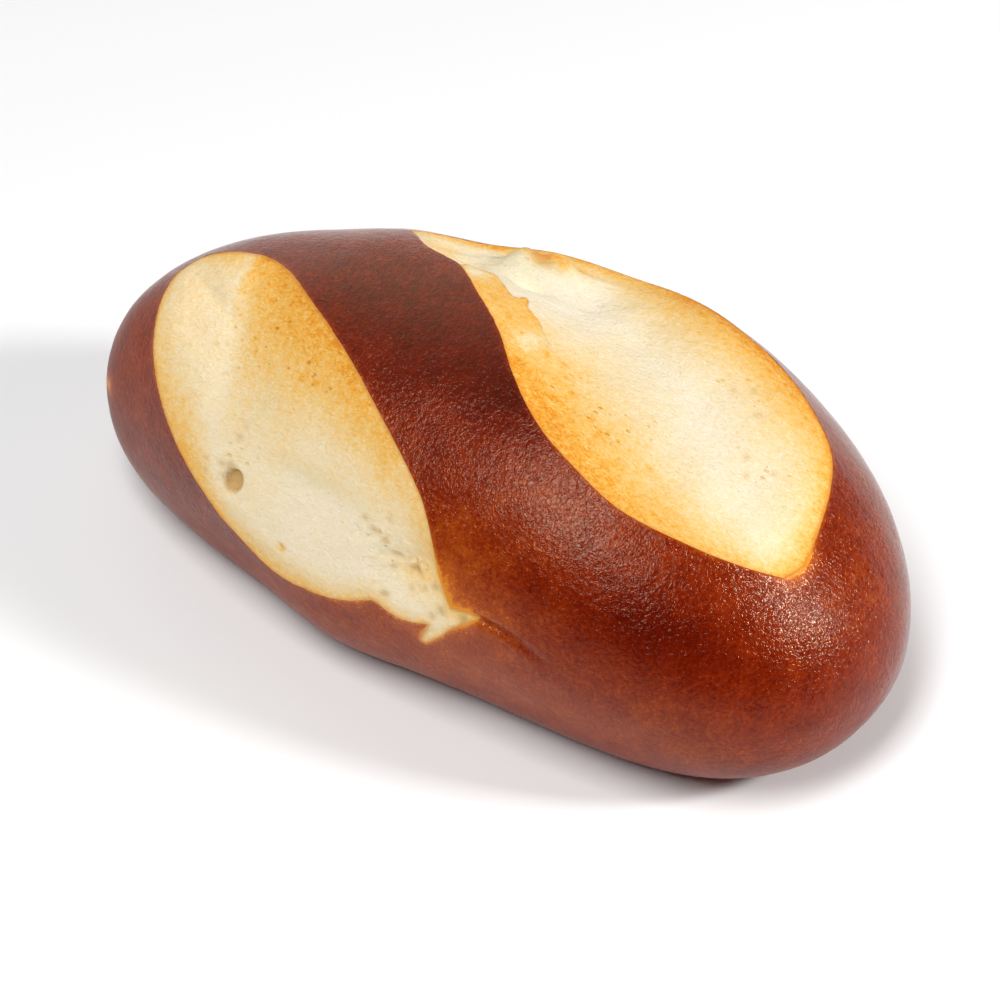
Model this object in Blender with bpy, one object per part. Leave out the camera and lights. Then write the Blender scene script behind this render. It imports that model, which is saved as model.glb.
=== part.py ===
"""A pretzel roll: an oblong lye-browned loaf whose two slashes burst open in the oven over pale crumb.

The loaf is one solid. Its long axis is X, its sole is flat on Z = 0, and lengths below are in mm.
A place on the loaf is (x, g): x along the loaf, and g around it, positive down the -Y side from the ridge.
"""

import itertools

import bmesh
import bpy
import numpy as np
from mathutils import Vector, kdtree
from mathutils.geometry import delaunay_2d_cdt

NODE = "pretzel_roll"
MM = 0.001

# Overall sizes of the loaf
LENGTH = 160.0
FRONT_HALF_WIDTH = 38.5
BACK_HALF_WIDTH = 48.0
HEIGHT = 60.0
WIDEST_LEVEL = 25.0
GIRTH_RADIUS = 40.0
CENTRE = (0.0, 4.4)

# How the loaf changes along its length
FRONT_FULLNESS = (1.8, 3.0)
BACK_FULLNESS = (1.8, 1.8)
RIDGE_FULLNESS = (4.5, 1.8)
BELLY_FULLNESS = 2.6
BELLY_DEPTH = 1.25
TAPER = 0.14
RIDGE_TAPER = 0.01
BOW = -4.0
END_DROP = 0.27
UPPER_SECTION = 2.1
LOWER_SECTION = 2.4
SOLE_ROUNDING = 2.5

# Broad swellings and dents of the loaf: x, g, height, spread along x, spread along g
SWELLINGS = (
    (-38.0, 79.0, -1.4, 17.0, 14.0),
    (-15.0, 86.0, 1.25, 12.0, 12.0),
    (17.0, 79.0, -1.35, 12.0, 13.0),
    (34.0, 79.0, -1.35, 16.0, 13.0),
    (-46.0, -18.0, -0.75, 10.0, 14.0),
    (-20.0, -28.0, -1.9, 9.0, 12.0),
    (3.0, -29.0, -1.6, 11.0, 12.0),
    (46.0, -36.0, -0.45, 12.0, 12.0),
)

# First slash: its free edge under the -Y side, and its edge along the band of crust
ONE_FREE = ((-56, -5.5), (-62, -5.6), (-64.5, 0), (-64.5, 9), (-63, 22), (-59, 36), (-51, 49.5),
            (-40, 60.5), (-27, 70), (-15, 68.5), (-9, 66), (-2.5, 61.2))
ONE_LIP = ((-2.5, 61.2), (1.5, 62.7), (5.2, 62.4), (8.8, 60.7))
ONE_NICK = ((8.8, 60.7), (7.3, 66), (8.2, 67.2))
ONE_TAIL = ((8.2, 67.2), (11.5, 62.5), (14.2, 58.2), (18.7, 53.5))
ONE_BAND = ((-56, -5.5), (-49, -3.6), (-42, 0.5), (-33.5, 8), (-18, 19), (0, 33), (6, 40), (10.5, 49),
            (13.3, 53.9))
ONE_CORNER = ((13.3, 53.9), (17, 52.9), (18.7, 53.5))

# Second slash: its edge along the band of crust, and its far edge over the +Y side
TWO_BAND = ((-32, -25), (-25, -17), (-16, -12.4), (-8.6, -6.3), (0, 0), (7, 7.7), (14.6, 14.1),
            (22.7, 18.2), (35.4, 21.6), (48.4, 19.8), (57, 16.6), (62.3, 12.9))
TWO_FAR = ((-32, -25), (-22, -33), (-9, -38.5), (5, -40), (18, -37.5), (31, -34), (40.7, -32.7),
           (49, -28.9), (56, -23), (60.1, -14), (62.8, -2), (63.7, 7), (62.3, 12.9))

# Torn skin inside the second slash, lying on the crumb beside the band
FLAP_EDGE = ((-16.2, -12.2), (-13, -15.5), (-11.5, -16.3), (-8, -14), (-4, -11), (-2.5, -12.8),
             (0, -9.5), (3.5, -7.5), (7, -4.5), (12, 0.5))
FLAP_BACK = ((13, 10), (4, 9), (-8, -3), (-16, -9))
FLAP_HEIGHT = 0.6
FLAP_FADE = (3.0, 11.0)
FLAP_ROOT = 1.5

# The split in the crust that runs on from the first slash
CREASE = ((18.7, 53.5), (25, 54), (33, 56.2))
CREASE_DEPTH = 0.9
CREASE_WIDTH = 0.8

# Hollow of the crumb in the first slash: its depth, the width of slash that reaches it, the share of the
# way from the free edge to the band at which the valley runs for each x, and the torn pit at its tail
ONE_DEPTH = 5.2
ONE_FULL_WIDTH = 48.0
ONE_VALLEY = ((-50.0, 0.68), (-43.0, 0.56), (-35.0, 0.5), (-20.0, 0.53), (0.0, 0.6), (10.0, 0.66))
TORN_PIT = (4.0, 51.0, 2.2, 9.0, 6.0)
TORN_PIT_WALLS = (5.0, 2.5)

# Hollow of the crumb in the second slash for each x: its depth, the share of the way from the band to the
# far edge at which its valley runs, and the least depth between the two edges
TWO_DEPTH = ((-30.0, 0.6), (-16.0, 2.2), (-5.0, 3.8), (7.0, 5.6), (20.0, 7.0), (34.0, 6.8), (50.0, 4.6),
             (60.0, 1.6))
TWO_FULL_WIDTH = 12.0
TWO_VALLEY = ((-28.0, 0.3), (-7.0, 0.36), (5.0, 0.46), (26.0, 0.53), (60.0, 0.53))
TWO_SHOULDER = ((-30.0, 0.9), (0.0, 1.4), (12.0, 0.9), (24.0, 0.2))
SHOULDER_WALL = 5.0

# Edge of the crust beside the crumb
LIP_RISE = 0.25
LIP_SPREAD = 3.0
CRUMB_DROP = 0.35
CRUMB_DROP_WITHIN = 0.5

# Small knobs and hollows of the second slash's crumb: x, g, height, radius along x, radius along g
KNOBS = (
    (-11.8, -28.0, 2.4, 2.8, 2.6),
    (-5.7, -29.5, 2.7, 3.2, 2.8),
    (-6.5, -21.5, -2.4, 4.0, 2.4),
)

# Broad sags of the crumb, given in the same way
SAGS = (
    (-21.0, -21.5, -0.9, 7.0, 6.0),
    (5.0, -27.0, -0.9, 9.0, 7.0),
)

KNOB_WALL = 3.0

# The one large pore of the crumb: x, g, depth, radius along x, radius along g
PORE = (-37.0, 53.0, 2.2, 1.7, 2.3)
PORE_FLAT_FLOOR = 1.6

# Lengths of the edges of the mesh, and the rows of points on both sides of each line
COARSE_EDGE = 3.8
FINE_EDGE = 1.8
PORE_EDGE = 0.8
EDGE_GROWTH = 0.5
BLOB_EDGE_GROWTH = 3.0
SPLIT_OVER = 1.3
BALL_LEVELS = 4
ROWS = (0.6, 2.0)
ROW_CLEARANCE = 0.8
POINT_CLEARANCE = 0.62
MAP_STRETCH = 1.8
SOLE_RING = 0.5
SOLE_RING_CLEARANCE = 0.1
SOLE_RING_POINTS = 28

STEP = 1e-3
TINY = 1e-6
MAP_TOLERANCE = 1e-7
CRUST_COLOUR = (0.135, 0.030, 0.010, 1.0)
CRUST_ROUGHNESS = 0.35


def ramp(low, high, value):
    """Rises smoothly from 0 at low to 1 at high."""
    k = np.clip((value - low) / (high - low), 0, 1)
    return k * k * (3 - 2 * k)


def from_ends(t, ends):
    """A value that changes smoothly from one end of the loaf to the other."""
    return ends[0] + (ends[1] - ends[0]) * ramp(-1, 1, t)


def full(t, fullness):
    return np.sqrt(np.maximum(1e-12, 1 - np.abs(t) ** fullness))


def smooth_loaf(d):
    """The loaf with no relief, for unit directions d."""
    t = np.clip(d[:, 0], -1, 1)
    angle = np.arctan2(d[:, 2], d[:, 1])
    across, rise = np.cos(angle), np.sin(angle)
    half_width = np.where(
        across > 0,
        BACK_HALF_WIDTH * full(t, from_ends(t, BACK_FULLNESS)),
        FRONT_HALF_WIDTH * full(t, from_ends(t, FRONT_FULLNESS)),
    ) * (1 + TAPER * t)
    level = WIDEST_LEVEL * (1 - END_DROP * t**2)
    above = (HEIGHT - WIDEST_LEVEL) * full(t, from_ends(t, RIDGE_FULLNESS)) * (1 + RIDGE_TAPER * t)
    below = WIDEST_LEVEL * BELLY_DEPTH * full(t, BELLY_FULLNESS)
    power = np.where(rise > 0, UPPER_SECTION, LOWER_SECTION)
    reach = (np.abs(across) ** power + np.abs(rise) ** power) ** (-1 / power)
    y = half_width * across * reach + BOW * t**2
    z = level + np.where(rise > 0, above, below) * rise * reach
    return np.stack([t * LENGTH / 2, y, z], 1)


def place(d):
    """The (x, g) of unit directions d."""
    angle = np.arctan2(d[:, 2], d[:, 1])
    turned = (angle - np.pi / 2 + np.pi) % (2 * np.pi) - np.pi
    return np.stack([d[:, 0] * LENGTH / 2, turned * GIRTH_RADIUS], 1)


def direction(spots):
    """The unit directions of places (x, g)."""
    t = spots[:, 0] / (LENGTH / 2)
    angle = spots[:, 1] / GIRTH_RADIUS + np.pi / 2
    side = np.sqrt(np.maximum(0, 1 - t**2))
    return np.stack([t, side * np.cos(angle), side * np.sin(angle)], 1)


def tangents(d):
    """Two unit directions across d and across each other."""
    helper = np.where(np.abs(d[:, :1]) > 0.7, [[0.0, 0.0, 1.0]], [[1.0, 0.0, 0.0]])
    first = np.cross(d, helper)
    first /= np.linalg.norm(first, axis=1, keepdims=True)
    return first, np.cross(d, first)


def outward(d):
    """The outward normals of the smooth loaf at unit directions d."""
    steps = []
    for way in tangents(d):
        ends = [d + STEP * way, d - STEP * way]
        ahead, behind = (end / np.linalg.norm(end, axis=1, keepdims=True) for end in ends)
        steps.append(smooth_loaf(ahead) - smooth_loaf(behind))
    normal = np.cross(steps[0], steps[1])
    return normal / np.linalg.norm(normal, axis=1, keepdims=True)


def curve(points, step=0.25):
    """A smooth line through the points, as places a step apart."""
    p = np.array(points, float)
    p = np.concatenate([2 * p[:1] - p[1:2], p, 2 * p[-1:] - p[-2:-1]])
    rows = []
    for a, b, c, e in zip(p[:-3], p[1:-2], p[2:-1], p[3:]):
        count = max(2, int(np.linalg.norm(c - b) / step))
        k = (np.arange(count) / count)[:, None]
        rows.append(b + 0.5 * k * ((c - a) + k * ((2 * a - 5 * b + 4 * c - e) + k * (3 * (b - c) + e - a))))
    rows.append(p[-2:-1])
    return np.concatenate(rows)


def joined(*lines):
    return np.concatenate([curve(line) for line in lines])


def round_head(first, second):
    """Two lines that leave their first point in opposite ways, with no corner there."""
    both = curve(tuple(first[::-1]) + tuple(second[1:]))
    middle = np.argmin(np.linalg.norm(both - np.array(first[0]), axis=1))
    return both[: middle + 1][::-1], both[middle:]


class Line:
    """Places along an edge of a slash or of a tear, and how far other places are from it over the loaf."""

    def __init__(self, spots):
        self.spots = spots
        self.tree = kdtree.KDTree(len(spots))
        for index, point in enumerate(smooth_loaf(direction(spots))):
            self.tree.insert(point, index)
        self.tree.balance()

    def nearest(self, points):
        found = [self.tree.find(point)[1:] for point in points]
        return np.array([index for index, _ in found]), np.array([distance for _, distance in found])


def within(spots, polygon):
    """Whether each place is inside the polygon."""
    x, g = spots[:, 0], spots[:, 1]
    inside = np.zeros(len(spots), bool)
    for (x0, g0), (x1, g1) in zip(polygon, np.roll(polygon, -1, axis=0)):
        if g0 != g1:
            inside ^= ((g0 > g) != (g1 > g)) & (x < x0 + (g - g0) * (x1 - x0) / (g1 - g0))
    return inside


ONE_HEAD, ONE_BAND_LINE = round_head(ONE_FREE, ONE_BAND)
ONE_SIDES = (
    Line(np.concatenate([ONE_HEAD, joined(ONE_LIP, ONE_NICK, ONE_TAIL)])),
    Line(np.concatenate([ONE_BAND_LINE, joined(ONE_CORNER)])),
)
TWO_SIDES = (Line(curve(TWO_BAND)), Line(curve(TWO_FAR)))
FLAP = Line(curve(FLAP_EDGE))
FLAP_AREA = np.concatenate([FLAP.spots, np.array(FLAP_BACK, float)])
CREASE_LINE = Line(curve(CREASE))
SLASHES = tuple(np.concatenate([a.spots, b.spots[::-1]])[::2] for a, b in (ONE_SIDES, TWO_SIDES))


def along(x, stations):
    """A value set at stations along the loaf, changing smoothly between them."""
    xs, values = np.array(stations).T
    k = np.interp(x, xs, np.arange(len(xs)))
    low = np.minimum(k.astype(int), len(xs) - 2)
    return values[low] + (values[low + 1] - values[low]) * ramp(0, 1, k - low)


def blob(spots, x, g, size_x, size_g):
    return np.exp(-((spots[:, 0] - x) / size_x) ** 2 - ((spots[:, 1] - g) / size_g) ** 2)


def trough(share, valley):
    """0 at both sides of a slash and 1 in its valley; share is 0 at the first side and 1 at the second."""
    first = ramp(0, 1, share / valley)
    second = np.sin(np.pi / 2 * np.clip((1 - share) / (1 - valley), 0, 1))
    return np.where(share < valley, first, second)


def crumb_of_one(spots, free, band):
    width = free + band + TINY
    depth = ONE_DEPTH * ramp(0, ONE_FULL_WIDTH, width)
    hollow = depth * trough(free / width, along(spots[:, 0], ONE_VALLEY))
    x, g, deep, size_x, size_g = TORN_PIT
    walls = ramp(0, TORN_PIT_WALLS[0], free) * ramp(0, TORN_PIT_WALLS[1], band)
    pit = deep * blob(spots, x, g, size_x, size_g) * walls
    x, g, deep, size_x, size_g = PORE
    pore = deep * ramp(0, 1, PORE_FLAT_FLOOR * blob(spots, x, g, size_x, size_g))
    return -hollow - pit - pore


def crumb_of_two(spots, band, far):
    width = band + far + TINY
    share = far / width
    valley = 1 - along(spots[:, 0], TWO_VALLEY)
    hollow = along(spots[:, 0], TWO_DEPTH) * trough(share, valley) * ramp(0, TWO_FULL_WIDTH, width)
    walls = ramp(0, SHOULDER_WALL, far) * ramp(0, SHOULDER_WALL, band)
    height = -np.maximum(hollow, along(spots[:, 0], TWO_SHOULDER) * walls)
    walls = ramp(0, KNOB_WALL, far) * ramp(0, KNOB_WALL, band)
    for x, g, rise, size_x, size_g in KNOBS + SAGS:
        height += rise * blob(spots, x, g, size_x, size_g) * walls
    flap = within(spots, FLAP_AREA) * (1 - ramp(FLAP_FADE[0], FLAP_FADE[1], spots[:, 0]))
    return height + FLAP_HEIGHT * flap * ramp(0, FLAP_ROOT, band)


def relief(spots, points):
    """How far the surface stands out from the smooth loaf, and how far outside a slash each place is."""
    height = np.zeros(len(spots))
    edge = np.full(len(spots), np.inf)
    for slash, sides, crumb in zip(SLASHES, (ONE_SIDES, TWO_SIDES), (crumb_of_one, crumb_of_two)):
        first, second = (side.nearest(points)[1] for side in sides)
        inside = within(spots, slash)
        nearest = np.minimum(first, second)
        drop = CRUMB_DROP * ramp(0, CRUMB_DROP_WITHIN, nearest)
        height[inside] = (crumb(spots, first, second) - drop)[inside]
        edge = np.where(inside, -nearest, np.minimum(edge, nearest))
    height += LIP_RISE * np.exp(-np.maximum(edge, 0) / LIP_SPREAD)
    for x, g, rise, size_x, size_g in SWELLINGS:
        height += rise * blob(spots, x, g, size_x, size_g)
    gap = CREASE_LINE.nearest(points)[1]
    fade = 1 - ramp(CREASE[0][0], CREASE[-1][0], spots[:, 0])
    height -= CREASE_DEPTH * np.exp(-((gap / CREASE_WIDTH) ** 2)) * fade**0.5
    return height, edge


def flattened(z):
    """Heights with a flat sole at 0 and a rounded rim to it."""
    r = SOLE_ROUNDING
    return np.where(z <= -r, 0, np.where(z >= r, z, (z + r) ** 2 / (4 * r)))


def loaf(d):
    """The finished surface of the loaf, for unit directions d."""
    smooth = smooth_loaf(d)
    height, _ = relief(place(d), smooth)
    points = smooth + outward(d) * height[:, None]
    points[:, 2] = flattened(points[:, 2])
    return points - np.array([CENTRE[0], CENTRE[1], 0])


def wanted_edge(d):
    """How long an edge of the mesh may be at unit directions d."""
    spots, points = place(d), smooth_loaf(d)
    _, edge = relief(spots, points)
    gap = np.minimum(np.abs(edge), FLAP.nearest(points)[1])
    gap = np.minimum(gap, CREASE_LINE.nearest(points)[1])
    size = FINE_EDGE + EDGE_GROWTH * np.maximum(gap - FINE_EDGE, 0)
    size = np.minimum(size, COARSE_EDGE)
    for finest, (x, g, _, size_x, size_g) in [(FINE_EDGE, knob) for knob in KNOBS] + [(PORE_EDGE, PORE)]:
        clear = 1 - blob(spots, x, g, 2 * size_x, 2 * size_g)
        size = np.minimum(size, finest + BLOB_EDGE_GROWTH * clear)
    return size


def ball(levels):
    """Unit directions and triangles of a ball, split evenly this many times."""
    bm = bmesh.new()
    bmesh.ops.create_icosphere(bm, subdivisions=levels, radius=1)
    bm.verts.index_update()
    d = np.array([v.co for v in bm.verts])
    triangles = np.array([[v.index for v in face.verts] for face in bm.faces])
    bm.free()
    return d / np.linalg.norm(d, axis=1, keepdims=True), triangles


def split(d, triangles):
    """Halves each edge that is longer than wanted, and the longest edge of each triangle that is touched."""
    ends = np.concatenate([triangles[:, [0, 1]], triangles[:, [1, 2]], triangles[:, [2, 0]]])
    edges, numbers = np.unique(np.sort(ends, axis=1), axis=0, return_inverse=True)
    numbers = numbers.reshape(3, -1).T
    middle = d[edges].mean(axis=1)
    middle /= np.linalg.norm(middle, axis=1, keepdims=True)
    points = smooth_loaf(d)
    length = np.linalg.norm(points[edges[:, 0]] - points[edges[:, 1]], axis=1)
    halve = length > SPLIT_OVER * wanted_edge(middle)
    longest = numbers[np.arange(len(numbers)), length[numbers].argmax(axis=1)]
    count = -1
    while halve.sum() != count:
        count = halve.sum()
        halve[longest[halve[numbers].any(axis=1)]] = True
    new = np.full(len(edges), -1)
    new[halve] = len(d) + np.arange(count)
    return np.concatenate([d, middle[halve]]), cut_triangles(triangles, new[numbers]), count


def cut_triangles(triangles, new):
    """The triangles after the points in new, or -1, were put on their three edges."""
    marked = new >= 0
    rows = [triangles[~marked.any(axis=1)]]

    def add(chosen, *corners):
        rows.extend(np.stack(row, 1)[chosen] for row in corners)

    for turn in range(3):
        a, b, c = np.roll(triangles, -turn, axis=1).T
        ab, bc, ca = np.roll(new, -turn, axis=1).T
        add((ab >= 0) & (bc < 0) & (ca < 0), (a, ab, c), (ab, b, c))
        add((ab >= 0) & (bc >= 0) & (ca < 0), (ab, b, bc), (a, ab, bc), (a, bc, c))
    add(marked.all(axis=1), (a, ab, ca), (ab, b, bc), (ca, bc, c), (ab, bc, ca))
    return np.concatenate(rows)


def beside(d, ahead, gap):
    """Directions whose points on the loaf lie this gap to the left of a line that runs from d to ahead."""
    aside = np.cross(outward(d), smooth_loaf(ahead) - smooth_loaf(d))
    aside *= gap / np.linalg.norm(aside, axis=1, keepdims=True)
    ways = tangents(d)
    slopes = [(smooth_loaf(d + STEP * way) - smooth_loaf(d - STEP * way)) / (2 * STEP) for way in ways]
    a, b, c = ((slopes[i] * slopes[j]).sum(axis=1) for i, j in ((0, 0), (0, 1), (1, 1)))
    e, f = ((slope * aside).sum(axis=1) for slope in slopes)
    turns = np.stack([c * e - b * f, a * f - b * e]) / (a * c - b * b)
    moved = d + turns[0][:, None] * ways[0] + turns[1][:, None] * ways[1]
    return moved / np.linalg.norm(moved, axis=1, keepdims=True)


def spaced(spots, step):
    """Directions of places on a line, each about a step from the next over the loaf."""
    points = smooth_loaf(direction(spots))
    run = np.concatenate([[0], np.cumsum(np.linalg.norm(np.diff(points, axis=0), axis=1))])
    stops = np.linspace(0, run[-1], max(2, round(run[-1] / step)) + 1)
    return direction(np.stack([np.interp(stops, run, spots[:, i]) for i in (0, 1)], 1))


def apart(kept, new, gap):
    """The kept directions, and those in new that are at least the gap from them and from each other."""
    cell = gap.max()
    around = list(itertools.product((-1, 0, 1), repeat=3))
    taken = {}
    for point in smooth_loaf(kept):
        taken.setdefault(tuple(int(v // cell) for v in point), []).append(point)
    rows = [kept]
    for d, point, clear in zip(new, smooth_loaf(new), gap):
        i, j, k = (int(v // cell) for v in point)
        near = [other for a, b, c in around for other in taken.get((i + a, j + b, k + c), ())]
        if near and np.linalg.norm(np.array(near) - point, axis=1).min() < clear:
            continue
        rows.append(d[None])
        taken.setdefault((i, j, k), []).append(point)
    return np.concatenate(rows)


def feature_lines():
    """Directions along the slashes, the torn skin and the crease, and the pairs that an edge has to join."""
    sides = [[spaced(line.spots, FINE_EDGE) for line in pair] for pair in (ONE_SIDES, TWO_SIDES)]
    outlines = [np.concatenate([first[:-1], second[:0:-1]]) for first, second in sides]
    loose = [spaced(line.spots, FINE_EDGE)[1:] for line in (FLAP, CREASE_LINE)]
    pairs, start = [], 0
    for line in outlines + loose:
        index = start + np.arange(len(line))
        pairs.append(np.stack([index, np.roll(index, -1)], 1))
        start += len(line)
    pairs[2:] = [pair[:-1] for pair in pairs[2:]]
    return outlines + loose, np.concatenate(pairs)


def net_points():
    """Directions for the mesh, with rows beside each line, and the pairs that an edge has to join."""
    lines, pairs = feature_lines()
    kept = np.concatenate(lines)
    for offset, line, side in itertools.product(ROWS, lines, (1, -1)):
        row = beside(line[:-1], line[1:], side * offset)
        kept = apart(kept, row, np.full(len(row), ROW_CLEARANCE * offset))
    d, triangles = ball(BALL_LEVELS)
    count = 1
    while count:
        d, triangles, count = split(d, triangles)
    d = d[d[:, 2] > -np.cos(SOLE_RING + SOLE_RING_CLEARANCE)]
    kept = apart(kept, d, POINT_CLEARANCE * wanted_edge(d))
    angle = np.linspace(0, 2 * np.pi, SOLE_RING_POINTS, endpoint=False)
    flat = np.sin(SOLE_RING) * np.stack([np.cos(angle), np.sin(angle)], 1)
    ring = np.column_stack([flat, np.full(len(angle), -np.cos(SOLE_RING))])
    return np.concatenate([kept, ring]), pairs


def net():
    """Directions and triangles of the mesh: a net over a flattened map, closed by a fan in the sole."""
    d, pairs = net_points()
    spread = 1 + d[:, 2]
    flat = [Vector((MAP_STRETCH * a, b)) for a, b in zip(d[:, 0] / spread, d[:, 1] / spread)]
    made = delaunay_2d_cdt(flat, pairs.tolist(), [], 0, MAP_TOLERANCE, True)
    source = np.array([origins[0] for origins in made[3]])
    triangles = source[np.array(made[2])]
    ring = np.arange(len(d) - SOLE_RING_POINTS, len(d))
    middle = np.full(SOLE_RING_POINTS, len(d))
    fan = np.stack([np.roll(ring, -1), ring, middle], 1)
    return np.concatenate([d, [[0, 0, -1]]]), np.concatenate([triangles, fan])


def crust_material():
    material = bpy.data.materials.new("crust")
    material.use_nodes = True
    shader = material.node_tree.nodes["Principled BSDF"]
    shader.inputs["Base Color"].default_value = CRUST_COLOUR
    shader.inputs["Roughness"].default_value = CRUST_ROUGHNESS
    return material


def build_roll():
    d, triangles = net()
    bm = bmesh.new()
    verts = [bm.verts.new(point) for point in loaf(d) * MM]
    for corners in triangles:
        bm.faces.new([verts[i] for i in corners])
    bmesh.ops.recalc_face_normals(bm, faces=bm.faces)
    mesh = bpy.data.meshes.new(NODE)
    bm.to_mesh(mesh)
    bm.free()
    mesh.materials.append(crust_material())
    mesh.shade_smooth()
    roll = bpy.data.objects.new(NODE, mesh)
    bpy.context.scene.collection.objects.link(roll)


for item in list(bpy.data.objects):
    bpy.data.objects.remove(item)
build_roll()
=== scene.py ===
"""Looks of the pretzel roll: a dense skin over the loaf's own form, a floor, lights and a camera.

The form repeats the loaf's construction in mm, with its fine relief added. A place on the loaf is (x, g):
x along the loaf, and g around it, positive down the -Y side from the ridge.
"""

import itertools
import math

import bmesh
import bpy
import numpy as np
from mathutils import Matrix, Vector, kdtree, noise
from mathutils.geometry import delaunay_2d_cdt


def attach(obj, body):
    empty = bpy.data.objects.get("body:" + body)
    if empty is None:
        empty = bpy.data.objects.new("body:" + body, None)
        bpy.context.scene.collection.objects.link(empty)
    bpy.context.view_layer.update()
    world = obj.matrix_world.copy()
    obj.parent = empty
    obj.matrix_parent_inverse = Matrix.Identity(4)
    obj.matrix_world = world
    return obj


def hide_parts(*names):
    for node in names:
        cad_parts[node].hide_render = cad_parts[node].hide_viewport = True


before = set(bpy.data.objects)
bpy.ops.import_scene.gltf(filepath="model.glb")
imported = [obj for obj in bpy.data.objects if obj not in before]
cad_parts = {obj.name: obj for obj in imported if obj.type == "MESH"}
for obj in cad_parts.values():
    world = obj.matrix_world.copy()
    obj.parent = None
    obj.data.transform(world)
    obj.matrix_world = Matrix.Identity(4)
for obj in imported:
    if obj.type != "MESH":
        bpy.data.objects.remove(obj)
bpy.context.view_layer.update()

NODE = "pretzel_roll"
MM = 0.001

# Overall sizes of the loaf
LENGTH = 160.0
FRONT_HALF_WIDTH = 38.5
BACK_HALF_WIDTH = 48.0
HEIGHT = 60.0
WIDEST_LEVEL = 25.0
GIRTH_RADIUS = 40.0
CENTRE = (0.0, 4.4)

# How the loaf changes along its length
FRONT_FULLNESS = (1.8, 3.0)
BACK_FULLNESS = (1.8, 1.8)
RIDGE_FULLNESS = (4.5, 1.8)
BELLY_FULLNESS = 2.6
BELLY_DEPTH = 1.25
TAPER = 0.14
RIDGE_TAPER = 0.01
BOW = -4.0
END_DROP = 0.27
UPPER_SECTION = 2.1
LOWER_SECTION = 2.4
SOLE_ROUNDING = 2.5

# Broad swellings and dents of the loaf: x, g, height, spread along x, spread along g
SWELLINGS = (
    (-38.0, 79.0, -1.4, 17.0, 14.0),
    (-15.0, 86.0, 1.25, 12.0, 12.0),
    (17.0, 79.0, -1.35, 12.0, 13.0),
    (34.0, 79.0, -1.35, 16.0, 13.0),
    (-46.0, -18.0, -0.75, 10.0, 14.0),
    (-20.0, -28.0, -1.9, 9.0, 12.0),
    (3.0, -29.0, -1.6, 11.0, 12.0),
    (46.0, -36.0, -0.45, 12.0, 12.0),
)

# First slash: its free edge under the -Y side, and its edge along the band of crust
ONE_FREE = ((-56, -5.5), (-62, -5.6), (-64.5, 0), (-64.5, 9), (-63, 22), (-59, 36), (-51, 49.5),
            (-40, 60.5), (-27, 70), (-15, 68.5), (-9, 66), (-2.5, 61.2))
ONE_LIP = ((-2.5, 61.2), (1.5, 62.7), (5.2, 62.4), (8.8, 60.7))
ONE_NICK = ((8.8, 60.7), (7.3, 66), (8.2, 67.2))
ONE_TAIL = ((8.2, 67.2), (11.5, 62.5), (14.2, 58.2), (18.7, 53.5))
ONE_BAND = ((-56, -5.5), (-49, -3.6), (-42, 0.5), (-33.5, 8), (-18, 19), (0, 33), (6, 40), (10.5, 49),
            (13.3, 53.9))
ONE_CORNER = ((13.3, 53.9), (17, 52.9), (18.7, 53.5))

# Second slash: its edge along the band of crust, and its far edge over the +Y side
TWO_BAND = ((-32, -25), (-25, -17), (-16, -12.4), (-8.6, -6.3), (0, 0), (7, 7.7), (14.6, 14.1),
            (22.7, 18.2), (35.4, 21.6), (48.4, 19.8), (57, 16.6), (62.3, 12.9))
TWO_FAR = ((-32, -25), (-22, -33), (-9, -38.5), (5, -40), (18, -37.5), (31, -34), (40.7, -32.7),
           (49, -28.9), (56, -23), (60.1, -14), (62.8, -2), (63.7, 7), (62.3, 12.9))

# Torn skin inside the second slash, lying on the crumb beside the band
FLAP_EDGE = ((-16.2, -12.2), (-13, -15.5), (-11.5, -16.3), (-8, -14), (-4, -11), (-2.5, -12.8),
             (0, -9.5), (3.5, -7.5), (7, -4.5), (12, 0.5))
FLAP_BACK = ((13, 10), (4, 9), (-8, -3), (-16, -9))
FLAP_HEIGHT = 0.6
FLAP_FADE = (3.0, 11.0)
FLAP_ROOT = 1.5

# The split in the crust that runs on from the first slash
CREASE = ((18.7, 53.5), (25, 54), (33, 56.2))
CREASE_DEPTH = 0.9
CREASE_WIDTH = 0.8

# Hollow of the crumb in the first slash: its depth, the width of slash that reaches it, the share of the
# way from the free edge to the band at which the valley runs for each x, and the torn pit at its tail
ONE_DEPTH = 5.2
ONE_FULL_WIDTH = 48.0
ONE_VALLEY = ((-50.0, 0.68), (-43.0, 0.56), (-35.0, 0.5), (-20.0, 0.53), (0.0, 0.6), (10.0, 0.66))
TORN_PIT = (4.0, 51.0, 2.2, 9.0, 6.0)
TORN_PIT_WALLS = (5.0, 2.5)

# Hollow of the crumb in the second slash for each x: its depth, the share of the way from the band to the
# far edge at which its valley runs, and the least depth between the two edges
TWO_DEPTH = ((-30.0, 0.6), (-16.0, 2.2), (-5.0, 3.8), (7.0, 5.6), (20.0, 7.0), (34.0, 6.8), (50.0, 4.6),
             (60.0, 1.6))
TWO_FULL_WIDTH = 12.0
TWO_VALLEY = ((-28.0, 0.3), (-7.0, 0.36), (5.0, 0.46), (26.0, 0.53), (60.0, 0.53))
TWO_SHOULDER = ((-30.0, 0.9), (0.0, 1.4), (12.0, 0.9), (24.0, 0.2))
SHOULDER_WALL = 5.0

# Edge of the crust beside the crumb
LIP_RISE = 0.25
LIP_SPREAD = 3.0
CRUMB_DROP = 0.35
CRUMB_DROP_WITHIN = 0.5

# Small knobs and hollows of the second slash's crumb: x, g, height, radius along x, radius along g
KNOBS = (
    (-11.8, -28.0, 2.4, 2.8, 2.6),
    (-5.7, -29.5, 2.7, 3.2, 2.8),
    (-6.5, -21.5, -2.4, 4.0, 2.4),
)

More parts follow.
